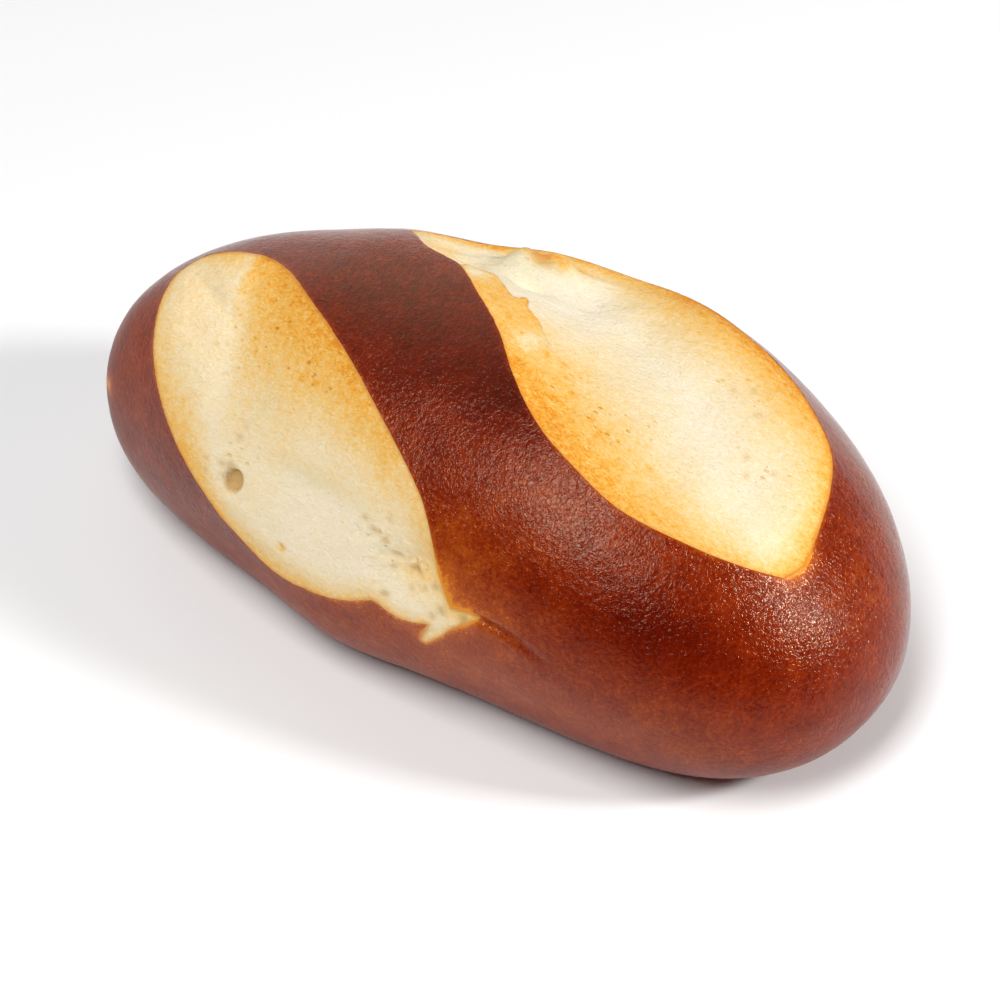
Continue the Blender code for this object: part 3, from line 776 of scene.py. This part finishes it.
SPECK_PATCHES = (
    (52.0, -7.0, 0.9, 8.0, 7.0),
    (38.0, -20.0, 0.9, 8.0, 4.0),
    (24.0, 4.0, 1.0, 16.0, 8.0),
    (5.0, -26.0, 0.5, 9.0, 6.0),
    (-15.0, -26.0, 1.0, 6.0, 4.0),
    (-42.0, 16.0, 0.9, 9.0, 12.0),
    (-26.0, 22.0, 0.8, 12.0, 7.0),
    (-37.0, 46.0, 1.0, 4.0, 3.5),
    (-2.0, 50.0, 1.0, 9.0, 5.0),
)

# Painted sheen, a greyer crust where it mirrors the lit surroundings; brighter or darker, and less shiny
# crust; the rim tones keep to the slashes' edges
PAINTED_SHEEN_PATCHES = (
    (-25.0, -10.0, 1.0, 34.0, 22.0),
    (-66.0, 30.0, 0.2, 14.0, 60.0),
    (10.0, 72.0, 0.1, 60.0, 16.0),
    (60.0, -34.0, 0.6, 30.0, 14.0),
)
TONE_PATCHES = (
    (-18.0, 2.0, -0.22, 26.0, 16.0),
    (10.0, 12.0, -0.34, 9.0, 7.0),
    (18.0, 34.0, 0.10, 12.0, 8.0),
    (49.0, 38.0, -0.30, 11.0, 8.0),
    (13.0, 47.0, 0.26, 7.0, 10.0),
    (21.0, 54.0, 0.24, 10.0, 7.0),
    (18.0, 70.0, 0.26, 26.0, 10.0),
    (55.0, 66.0, 0.14, 16.0, 12.0),
    (-64.0, 30.0, 0.12, 8.0, 40.0),
    (-35.0, -20.0, 0.12, 26.0, 10.0),
    (72.0, -8.0, 0.10, 8.0, 20.0),
    (-5.0, 12.0, -0.14, 13.0, 11.0),
    (0.0, 80.0, 0.12, 30.0, 8.0),
    (-30.0, 78.0, 0.12, 22.0, 8.0),
    (-75.0, 50.0, 0.60, 3.0, 5.0),
)
RIM_TONES = (
    (63.5, 8.0, 0.52, 3.4, 7.0),
    (13.0, 50.0, 0.23, 6.5, 9.0),
    (0.0, 66.0, 0.26, 14.0, 6.0),
)
RIM_REACH = 2.8
MATTE_PATCHES = (
    (35.0, 78.0, 1.0, 60.0, 18.0),
    (-70.0, 40.0, 0.9, 12.0, 40.0),
    (-40.0, 80.0, 0.6, 20.0, 14.0),
)

# Colours of the crumb from white to the crust's edge, and of the crust from its darkest to its warmest
CRUMB_COLOURS = (
    (0.00, (0.94, 0.855, 0.68)),
    (0.25, (0.93, 0.75, 0.46)),
    (0.50, (0.93, 0.61, 0.22)),
    (0.70, (0.92, 0.49, 0.09)),
    (0.82, (0.90, 0.39, 0.035)),
    (0.93, (0.80, 0.27, 0.016)),
    (1.00, (0.42, 0.085, 0.006)),
)
CRUST_COLOURS = (
    (0.00, (0.068, 0.0026, 0.0003)),
    (0.25, (0.120, 0.0054, 0.0005)),
    (0.50, (0.212, 0.0172, 0.0014)),
    (0.75, (0.350, 0.0550, 0.0046)),
    (0.90, (0.50, 0.105, 0.010)),
    (1.00, (0.72, 0.25, 0.017)),
)
SHADE_COLOUR = (0.70, 0.66, 0.45, 1)
GAP_COLOUR = (0.52, 0.36, 0.15, 1)
PORE_SHADE_COLOUR = (0.62, 0.40, 0.16, 1)
BURNT_COLOUR = (0.62, 0.215, 0.018, 1)
PAINTED_SHEEN_COLOUR = (0.018, 0.025, 0.012, 1)
GLOSS_TINT = (1.0, 0.80, 0.58, 1)

# Noises of the crumb and of the crust: size in mm, detail, roughness, distortion, stretch of each axis
MOTTLE = (1.6, 4.0, 0.7)
STRANDS = (0.42, 3.0, 0.7, 0.8, (0.55, 1.0, 1.0))
GAPS = (0.5, 3.0, 0.6, 0.8)
SWELLS = (1.5, 3.0, 0.6)
BLOTCHES = (5.0, 4.0, 0.6)
GRAIN = (0.7, 4.0, 0.75)
GLINT_FLECKS = (0.5, 2.0, 0.5, 0.5)
STREAKS = (0.8, 4.0, 0.7, 0.0, (1.0, 0.36, 0.36))
RIDGES = (0.75, 2.0, 0.55, 0.6)
PEBBLES = (1.1, 2.0, 0.5)
SHEEN = (3.0,)

# How much each pattern browns the crumb: the share that grows with the gold, and the share that doesn't
MOTTLE_GOLD = (0.65, 0.20)
STRAND_GOLD = (0.85, 0.34)
SPECK_GOLD = 0.30
MOST_GOLD = 0.92

# Strengths of the crumb's painted shade in hollows and pores and of its other colours, and the values of the
# noise between which a gap opens
SHADE_AMOUNT = 0.6
GAP_AMOUNT = 0.22
GAP_EDGES = (0.57, 0.72)
PORE_SHADE_AMOUNT = 1.4

# Specks: spacing in mm, stretch, the values of the cells between which they grow, their size and edge
SPECK_SPACING = 1.2
SPECK_STRETCH = (0.6, 1.0, 1.0)
SPECK_GROWTH = (0.20, 1.0)
SPECK_SIZE = 0.27
SPECK_EDGE = 0.06

# Tone of the crust and what each pattern adds to it; the grain is calmer where the crust is warm, and the
# flecks paint small glints
CRUST_TONE = 0.415
BLOTCH_TONE = 0.45
GRAIN_TONE = 0.85
GRAIN_CALM = 0.6
CALM_TONES = (0.6, 1.0)
STREAK_TONE = (0.45, 0.25)
GLINT_FLECK_TONE = 0.22
GLINT_FLECK_EDGES = (0.64, 0.74)

# Roughness and reflection of the surface, and the heights of its bumps
CRUMB_SIDE = (-0.12, 0.06)
CRUST_ROUGHNESS = 0.08
MATTE_ROUGHNESS = 0.36
SHEEN_ROUGHNESS = 0.10
CRUMB_ROUGHNESS = 0.5
GLOSS_IOR = 1.35
PEBBLE_HEIGHT = 0.36
RIDGE_HEIGHT = 0.62
STREAK_HEIGHT = 0.16
STRAND_HEIGHT = 0.8
SPECK_HEIGHT = -0.6
HOLE_HEIGHT = -0.9
BUMP_DEPTH = 0.34


def browned(m, side, strength, reach):
    """How brown the crumb is because of one side of its slash."""
    x = m["spots"][:, 0]
    return along(x, strength) * np.exp(-((m[side] / along(x, reach)) ** GOLD_FALL))


def gold_of_one(m):
    """How brown the first slash's crumb is, from 0, white, to 1, as dark as the crust's edge."""
    gold = np.maximum(along(m["spots"][:, 0], ONE_BASE), browned(m, "band", ONE_BAND_GOLD, ONE_BAND_REACH))
    return np.maximum(gold, browned(m, "free", ONE_FREE_GOLD, ONE_FREE_REACH))


def gold_of_two(m):
    """How brown the second slash's crumb is."""
    gold = np.maximum(along(m["spots"][:, 0], TWO_BASE), browned(m, "near", TWO_NEAR_GOLD, TWO_NEAR_REACH))
    gold = np.maximum(gold, browned(m, "far", TWO_FAR_GOLD, TWO_FAR_REACH))
    return np.maximum(gold, SKIN_GOLD * m["skin"])


def touched(m, blobs):
    """The sum of soft patches: x, g, strength, reach along x, reach along g."""
    return sum(rise * blob(m["spots"], x, g, size_x, size_g) for x, g, rise, size_x, size_g in blobs)


def pore_shade(m):
    """Painted shade: 1 inside the large pore of the first slash, 0 outside."""
    x, g, half_x, half_g = PORE_SHADE
    share = np.hypot((m["spots"][:, 0] - x) / half_x, (m["spots"][:, 1] - g) / half_g)
    return PORE_SHADE_STRENGTH * (1 - ramp(*PORE_SHADE_EDGE, share))


def burnt_lines(m):
    """How strong the thin burnt line of the edges is."""
    far = (m["far"] < m["near"]) * ramp(*FAR_BURNT_FROM, m["spots"][:, 0])
    strength = np.where(m["in_two"], TWO_BURNT + (FAR_BURNT - TWO_BURNT) * far, ONE_BURNT)
    tear = TEAR_BURNT * m["skin"] * beside_line(m["tear"], BURNT_REACH)
    return strength * beside_line(m["edge"], BURNT_REACH) + tear


def crust_tone(m):
    """How much warmer than its plain part the crust is; less than 0 is darker, as in the painted shade of
    the split.
    """
    tone = touched(m, TONE_PATCHES) + touched(m, RIM_TONES) * beside_line(m["edge"], RIM_REACH)
    tone += EDGE_TONE * beside_line(m["edge"], EDGE_TONE_REACH)
    return tone + CREASE_SHADE * beside_line(m["crease"], CREASE_SHADE_REACH)


def fields(m):
    """The values that the shader reads at each point of the skin."""
    gold = np.where(m["in_one"], gold_of_one(m), gold_of_two(m)) + touched(m, GOLD_AND_SHADE_PATCHES)
    gold += touched(m, HOLLOW_GOLD_AND_SHADE) * (1 - gold)
    return {
        "edge": m["edge"],
        "gold": gold,
        "burnt": burnt_lines(m),
        "painted_sheen": np.clip(touched(m, PAINTED_SHEEN_PATCHES), 0, 1),
        "shade": touched(m, SHADE_PATCHES),
        "hole": touched(m, SHADED_PORE_PATCHES) + pore_shade(m),
        "tone": crust_tone(m),
        "matte": touched(m, MATTE_PATCHES),
        "speck": touched(m, SPECK_PATCHES),
        # Painted shade over the second slash's crumb, against its stronger light.
        "pale": np.where(m["in_two"], along(m["spots"][:, 0], TWO_PAINTED_SHADE), 1.0),
    }


class Nodes:
    """The nodes of one material or world, added and linked in order."""

    def __init__(self, owner):
        owner.use_nodes = True
        self.tree = owner.node_tree

    def put(self, target, value):
        """Links an output to this input, or gives it a value of its own."""
        if isinstance(value, bpy.types.NodeSocket):
            self.tree.links.new(value, target)
        else:
            target.default_value = value

    def fill(self, kind, values):
        """Sets inputs of the node of this name that is there from the start."""
        for name, value in values.items():
            self.put(self.tree.nodes[kind].inputs[name], value)

    def add(self, kind, inputs=(), output=0, **settings):
        """One of the outputs of a new node."""
        node = self.tree.nodes.new(kind)
        for name, value in settings.items():
            setattr(node, name, value)
        for name, value in dict(inputs).items():
            self.put(node.inputs[name], value)
        return node.outputs[output]

    def math(self, operation, *values, clamp=False):
        inputs = dict(enumerate(values))
        return self.add("ShaderNodeMath", inputs, operation=operation, use_clamp=clamp)

    def plus(self, total, value, times, clamp=False):
        """The total, and the value so many times."""
        return self.math("MULTIPLY_ADD", value, times, total, clamp=clamp)

    def clamped(self, value, times=1.0):
        """The value so many times, kept between 0 and 1."""
        return self.math("MULTIPLY", value, times, clamp=True)

    def field(self, name):
        """One of the values that the mesh holds at each point."""
        return self.add("ShaderNodeAttribute", output="Fac", attribute_name=name)

    def place(self, stretch=None):
        """Coordinates of the object, stretched along each axis."""
        place = self.add("ShaderNodeTexCoord", output="Object")
        if stretch:
            place = self.add("ShaderNodeVectorMath", {0: place, 1: stretch}, operation="MULTIPLY")
        return place

    def noise(self, size, detail=2.0, roughness=0.5, distortion=0.0, stretch=None):
        """Noise from 0 to 1 with lumps of this size in mm."""
        inputs = {"Vector": self.place(stretch), "Scale": 1 / (size * MM), "Detail": detail}
        return self.add("ShaderNodeTexNoise", {**inputs, "Roughness": roughness, "Distortion": distortion})

    def lumps(self, *shape):
        """The same noise, about 0 in the middle."""
        return self.math("SUBTRACT", self.noise(*shape), 0.5)

    def smooth(self, value, low, high, start=0.0, end=1.0):
        """Goes smoothly from start to end while the value goes from low to high."""
        inputs = {"Value": value, "From Min": low, "From Max": high, "To Min": start, "To Max": end}
        return self.add("ShaderNodeMapRange", inputs, interpolation_type="SMOOTHSTEP")

    def colours(self, value, stops):
        """The colour that stands at this value, from stops of a position and a colour."""
        node = self.tree.nodes.new("ShaderNodeValToRGB")
        self.put(node.inputs[0], value)
        elements = node.color_ramp.elements
        while len(elements) < len(stops):
            elements.new(0.5)
        for element, (position, colour) in zip(elements, stops):
            element.position = position
            element.color = (*colour, 1)
        return node.outputs[0]

    def mix(self, factor, first, second, blend="MIX"):
        """Two colours mixed; the node has its sockets for colours at these numbers."""
        inputs = {0: factor, 6: first, 7: second}
        return self.add("ShaderNodeMix", inputs, output=2, data_type="RGBA", blend_type=blend)

    def bump(self, height, depth):
        """Bumps this deep in mm."""
        return self.add("ShaderNodeBump", {"Height": height, "Distance": depth * MM})


def specks(nodes):
    """Small scattered pores of the crumb, from 0 to 1."""
    cell = nodes.tree.nodes.new("ShaderNodeTexVoronoi")
    nodes.put(cell.inputs["Vector"], nodes.place(SPECK_STRETCH))
    nodes.put(cell.inputs["Scale"], 1 / (SPECK_SPACING * MM))
    chosen = nodes.add("ShaderNodeSeparateColor", {0: cell.outputs["Color"]})
    size = nodes.math("MULTIPLY", nodes.smooth(chosen, *SPECK_GROWTH), SPECK_SIZE)
    hole = nodes.math("SUBTRACT", size, cell.outputs["Distance"])
    return nodes.clamped(nodes.smooth(hole, 0.0, SPECK_EDGE), nodes.field("speck"))


def crumb_colour(nodes, speck):
    """White to golden crumb, with mottling, torn threads, specks and gaps, painted shade in its hollows,
    pores and tears and over the second slash, and its burnt edge.
    """
    field = nodes.field("gold")
    gold = field
    for pattern, (growing, steady) in ((MOTTLE, MOTTLE_GOLD), (STRANDS, STRAND_GOLD)):
        amount = nodes.math("MULTIPLY_ADD", field, growing, steady)
        gold = nodes.plus(gold, nodes.lumps(*pattern), amount)
    gold = nodes.math("MINIMUM", nodes.plus(gold, speck, SPECK_GOLD), MOST_GOLD)
    colour = nodes.colours(gold, CRUMB_COLOURS)
    # Painted shade in the hollows and on the knob.
    colour = nodes.mix(nodes.clamped(nodes.field("shade"), SHADE_AMOUNT), colour, SHADE_COLOUR)
    gaps = nodes.math("MULTIPLY", nodes.smooth(nodes.noise(*GAPS), *GAP_EDGES), GAP_AMOUNT)
    colour = nodes.mix(gaps, colour, GAP_COLOUR)
    # Painted shade in the pores and tears.
    colour = nodes.mix(nodes.clamped(nodes.field("hole"), PORE_SHADE_AMOUNT), colour, PORE_SHADE_COLOUR)
    # Painted shade over the second slash, against its stronger light.
    colour = nodes.mix(1.0, colour, nodes.field("pale"), "MULTIPLY")
    return nodes.mix(nodes.clamped(nodes.field("burnt")), colour, BURNT_COLOUR)


def crust_colour(nodes):
    """Brown crust with blotches, grain and wrinkles, pale flecks painted as small glints, and a painted
    sheen in places.
    """
    base = nodes.math("ADD", nodes.field("tone"), CRUST_TONE)
    painted_sheen = nodes.clamped(nodes.field("painted_sheen"))
    calm = nodes.math("MULTIPLY", nodes.smooth(base, *CALM_TONES), GRAIN_CALM)
    tone = nodes.plus(base, nodes.lumps(*BLOTCHES), BLOTCH_TONE)
    tone = nodes.plus(tone, nodes.lumps(*GRAIN), nodes.math("SUBTRACT", GRAIN_TONE, calm))
    tone = nodes.plus(tone, nodes.lumps(*STREAKS), nodes.math("MULTIPLY_ADD", painted_sheen, *STREAK_TONE))
    glint_flecks = nodes.smooth(nodes.noise(*GLINT_FLECKS), *GLINT_FLECK_EDGES)
    tone = nodes.plus(tone, glint_flecks, GLINT_FLECK_TONE, clamp=True)
    return nodes.mix(painted_sheen, nodes.colours(tone, CRUST_COLOURS), PAINTED_SHEEN_COLOUR, "ADD")


def crust_bumps(nodes):
    """Height of the crust's pebbles, of the creases between them and of its wrinkles."""
    ridges = nodes.math("ABSOLUTE", nodes.lumps(*RIDGES))
    height = nodes.math("MULTIPLY", ridges, RIDGE_HEIGHT)
    height = nodes.plus(height, nodes.noise(*PEBBLES), PEBBLE_HEIGHT)
    return nodes.plus(height, nodes.lumps(*STREAKS), STREAK_HEIGHT)


def crumb_bumps(nodes, speck):
    """Height of the crumb's lumps and threads, with its specks and pores."""
    height = nodes.plus(nodes.noise(*SWELLS), nodes.lumps(*STRANDS), STRAND_HEIGHT)
    height = nodes.plus(height, speck, SPECK_HEIGHT)
    return nodes.plus(height, nodes.field("hole"), HOLE_HEIGHT)


def skin_material():
    """Crust and crumb in one material, told apart by the field named edge."""
    material = bpy.data.materials.new("baked_crust_and_crumb")
    nodes = Nodes(material)
    crumb = nodes.math("SUBTRACT", 1.0, nodes.smooth(nodes.field("edge"), *CRUMB_SIDE))
    speck = specks(nodes)
    gloss = nodes.math("MULTIPLY_ADD", nodes.field("matte"), MATTE_ROUGHNESS, CRUST_ROUGHNESS)
    gloss = nodes.plus(gloss, nodes.noise(*SHEEN), SHEEN_ROUGHNESS)
    height = nodes.mix(crumb, crust_bumps(nodes), crumb_bumps(nodes, speck))
    nodes.fill("Principled BSDF", {
        "Base Color": nodes.mix(crumb, crust_colour(nodes), crumb_colour(nodes, speck)),
        "Roughness": nodes.plus(gloss, crumb, CRUMB_ROUGHNESS, clamp=True),
        "IOR": GLOSS_IOR,
        "Specular Tint": GLOSS_TINT,
        "Normal": nodes.bump(height, BUMP_DEPTH),
    })
    return material


def new_object(name, data):
    """A new object, put in the scene."""
    made = bpy.data.objects.new(name, data)
    bpy.context.scene.collection.objects.link(made)
    return made


def build_skin():
    """The skin of the roll, with its fields and its material."""
    d, triangles = net()
    m = measure(d)
    points = m["points"] + outward(d) * (coarse_relief(m) + fine_relief(m))[:, None]
    points[:, 2] = flattened(points[:, 2])
    points -= (CENTRE[0], CENTRE[1], 0)
    mesh = bpy.data.meshes.new("roll_skin")
    mesh.from_pydata(points * MM, [], triangles.tolist())
    for name, values in fields(m).items():
        mesh.attributes.new(name, "FLOAT", "POINT").data.foreach_set("value", values.astype(np.float32))
    mesh.materials.append(skin_material())
    mesh.shade_smooth()
    return new_object("roll_skin", mesh)


# Floor: its size in metres, its two nearly equal tints, the size in mm of their patches, its roughness
FLOOR_SIZE = 6.0
FLOOR_TINTS = ((0.90, 0.90, 0.90, 1), (0.92, 0.92, 0.92, 1))
FLOOR_PATCHES = 400.0
FLOOR_ROUGHNESS = 0.6

# Lights: name, direction, distance, width, depth, watts. Lengths of the stage are in metres, and a
# direction is two angles in degrees: its turn from -Y towards +X, and its height above the floor.
LIGHTS = (
    ("key", -3.0, 65.0, 1.1, 0.36, 0.68, 10.0),
    ("side", 107.0, 33.0, 1.1, 0.17, 0.17, 8.8),
)

# The lit wall: its direction, and its broad glow, its brighter spot and its fading upwards, each as the
# values between which it changes and the light at both
WALL = (-125.0, 20.0)
WALL_SPREAD = (0.10, 0.60, 0.04, 0.36)
WALL_SPOT = (0.88, 0.99, 0.0, 0.70)
WALL_TOP = (0.62, 0.88, 1.0, 0.35)
WALL_COLOUR = (1, 1, 1, 1)

# Camera: its direction from what it looks at, its lens and sensor in mm, and where it looks
VIEW_TURN = 30.221
VIEW_HEIGHT = 44.0
VIEW_DISTANCE = 0.6
VIEW_LENS = 121.413
SENSOR = 36.0
CLIP_START = 0.01
AIM_HEIGHT = 0.030
AIM_ASIDE = 0.000378
AIM_UP = -0.007667


def build_floor():
    """The pale table under the roll."""
    material = bpy.data.materials.new("pale_table")
    nodes = Nodes(material)
    tint = nodes.mix(nodes.noise(FLOOR_PATCHES), *FLOOR_TINTS)
    nodes.fill("Principled BSDF", {"Base Color": tint, "Roughness": FLOOR_ROUGHNESS})
    mesh = bpy.data.meshes.new("table")
    s = FLOOR_SIZE / 2
    mesh.from_pydata([(-s, -s, 0), (s, -s, 0), (s, s, 0), (-s, s, 0)], [], [(0, 1, 2, 3)])
    mesh.materials.append(material)
    new_object("table", mesh)


def towards(turn, height):
    """The unit vector of a direction."""
    a, e = math.radians(turn), math.radians(height)
    return Vector((math.sin(a) * math.cos(e), -math.cos(a) * math.cos(e), math.sin(e)))


def studio_world():
    """Dark surroundings that glow low down on one side, as a lit wall behind the table does."""
    world = bpy.data.worlds.new("studio")
    nodes = Nodes(world)
    way = nodes.add("ShaderNodeTexCoord", output="Generated")
    height = nodes.add("ShaderNodeSeparateXYZ", {0: way}, output="Z")
    to_wall = {0: way, 1: towards(*WALL)}
    facing = nodes.add("ShaderNodeVectorMath", to_wall, output="Value", operation="DOT_PRODUCT")
    glow = nodes.math("ADD", nodes.smooth(facing, *WALL_SPREAD), nodes.smooth(facing, *WALL_SPOT))
    glow = nodes.math("MULTIPLY", glow, nodes.smooth(height, *WALL_TOP))
    nodes.fill("Background", {"Color": WALL_COLOUR, "Strength": glow})
    return world


def build_lights():
    """The two soft lights and the glowing surroundings."""
    for name, turn, height, distance, width, depth, power in LIGHTS:
        light = bpy.data.lights.new(name, "AREA")
        light.shape = "RECTANGLE"
        light.size, light.size_y, light.energy = width, depth, power
        lamp = new_object(name, light)
        lamp.location = towards(turn, height) * distance
        lamp.rotation_euler = towards(turn, height).to_track_quat("Z", "Y").to_euler()
    bpy.context.scene.world = studio_world()


def build_camera():
    """The camera at the photograph's angle."""
    back = towards(VIEW_TURN, VIEW_HEIGHT)
    turn = math.radians(VIEW_TURN)
    right = Vector((math.cos(turn), math.sin(turn), 0))
    up = back.cross(right)
    aim = Vector((0, -CENTRE[1] * MM, AIM_HEIGHT)) + right * AIM_ASIDE + up * AIM_UP
    data = bpy.data.cameras.new("camera")
    data.sensor_width = SENSOR
    data.lens = VIEW_LENS
    data.clip_start = CLIP_START
    camera = new_object("camera", data)
    stand = Matrix.Translation(aim + back * VIEW_DISTANCE)
    camera.matrix_world = stand @ Matrix((right, up, back)).transposed().to_4x4()
    bpy.context.scene.camera = camera


build_camera()
build_lights()
build_floor()
skin = build_skin()
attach(skin, "root")
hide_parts(NODE)
bpy.context.scene.view_settings.view_transform = "Standard"
